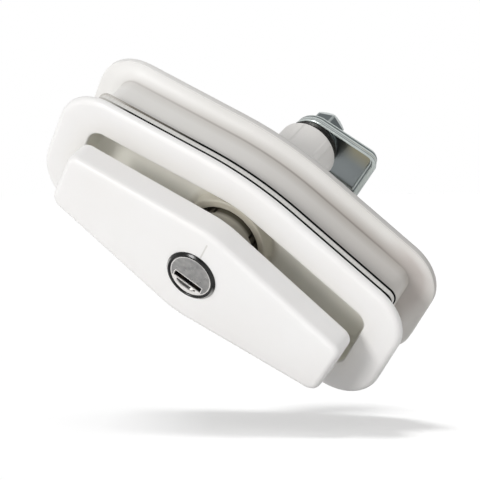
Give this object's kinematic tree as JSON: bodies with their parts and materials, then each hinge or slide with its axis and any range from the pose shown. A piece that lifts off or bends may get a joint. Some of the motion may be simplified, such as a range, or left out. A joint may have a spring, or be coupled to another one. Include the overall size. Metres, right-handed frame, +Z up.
{
  "type": "flush compression lock",
  "caption": "Flush door lock with a pop-out T handle and key plug in a long six-sided bezel, a rear clamping collar, a barrel and a cam that is drawn in as the handle turns.",
  "frame": {"origin": "on the spindle axis, in the plane where the rear seal meets the door panel", "axes": "+X along the bezel, -Y out towards the user, +Y behind the door along the spindle, +Z up"},
  "size_m": [0.1248, 0.0929, 0.0592],
  "materials": {
    "white_shell": "satin",
    "light_collar": "satin",
    "black_rubber": "matt",
    "light_foam": "matt",
    "grey_barrel": "satin",
    "steel": "satin",
    "dark_steel": "satin",
    "brass": "machined",
    "black_ring": "gloss",
    "zinc_plate": "bright zinc"
  },
  "bodies": {
    "fixed": {"front_bezel": "white_shell", "face_seal": "black_rubber", "spacer_band": "light_foam", "panel_seal": "black_rubber", "rear_collar": "light_collar", "stem_seal": "black_rubber", "guide_bush": "light_collar", "barrel": "grey_barrel", "collar_screws": "steel", "screw_inserts": "brass", "spring_seat": "steel", "pop_out_spring": "steel"},
    "drive": {"spindle": "steel", "spindle_clip": "dark_steel"},
    "handle": {"handle_shell": "white_shell", "handle_stem": "grey_barrel", "stem_screws": "steel", "stem_clip": "dark_steel", "lock_ring": "black_ring", "lock_housing": "dark_steel"},
    "plug": {"lock_plug": "steel", "key_wafers": "brass", "plug_clip": "steel", "lock_tail": "steel"},
    "right_bolt": {"bolt_right": "steel"},
    "left_bolt": {"bolt_left": "steel"},
    "cam": {"draw_sleeve": "dark_steel", "cam_plate": "zinc_plate", "cam_washer": "zinc_plate", "lock_washer": "zinc_plate", "cam_nut": "zinc_plate"}
  },
  "joints": [
    {"name": "handle_turn", "type": "hinge", "parent": "fixed", "child": "drive", "pos_m": [0, 0, 0], "axis": [0, 1, 0], "range_deg": [-1.55, 88.45]},
    {"name": "handle_press", "type": "slide", "parent": "drive", "child": "handle", "axis": [0, 1, 0], "range_m": [0, 0.0058], "stiffness_N_per_m": 500, "springref_m": -0.01, "deforming": ["pop_out_spring"]},
    {"name": "key_turn", "type": "hinge", "parent": "handle", "child": "plug", "pos_m": [0, 0, 0], "axis": [0, 1, 0], "range_deg": [0, 90]},
    {"name": "right_bolt_slide", "type": "slide", "parent": "handle", "child": "right_bolt", "axis": [0.9996, 0, -0.027], "range_m": [0, 0.001]},
    {"name": "left_bolt_slide", "type": "slide", "parent": "handle", "child": "left_bolt", "axis": [-0.9996, 0, 0.027], "range_m": [0, 0.001]},
    {"name": "cam_draw", "type": "slide", "parent": "drive", "child": "cam", "axis": [0, 1, 0], "range_m": [-0.0001, 0.003]}
  ],
  "couplings": [
    {"joint": "right_bolt_slide", "follows": "key_turn", "m_per_rad": 0.00063662},
    {"joint": "left_bolt_slide", "follows": "key_turn", "m_per_rad": 0.00063662},
    {"joint": "cam_draw", "follows": "handle_turn", "m_per_rad": 0.0019099}
  ]
}
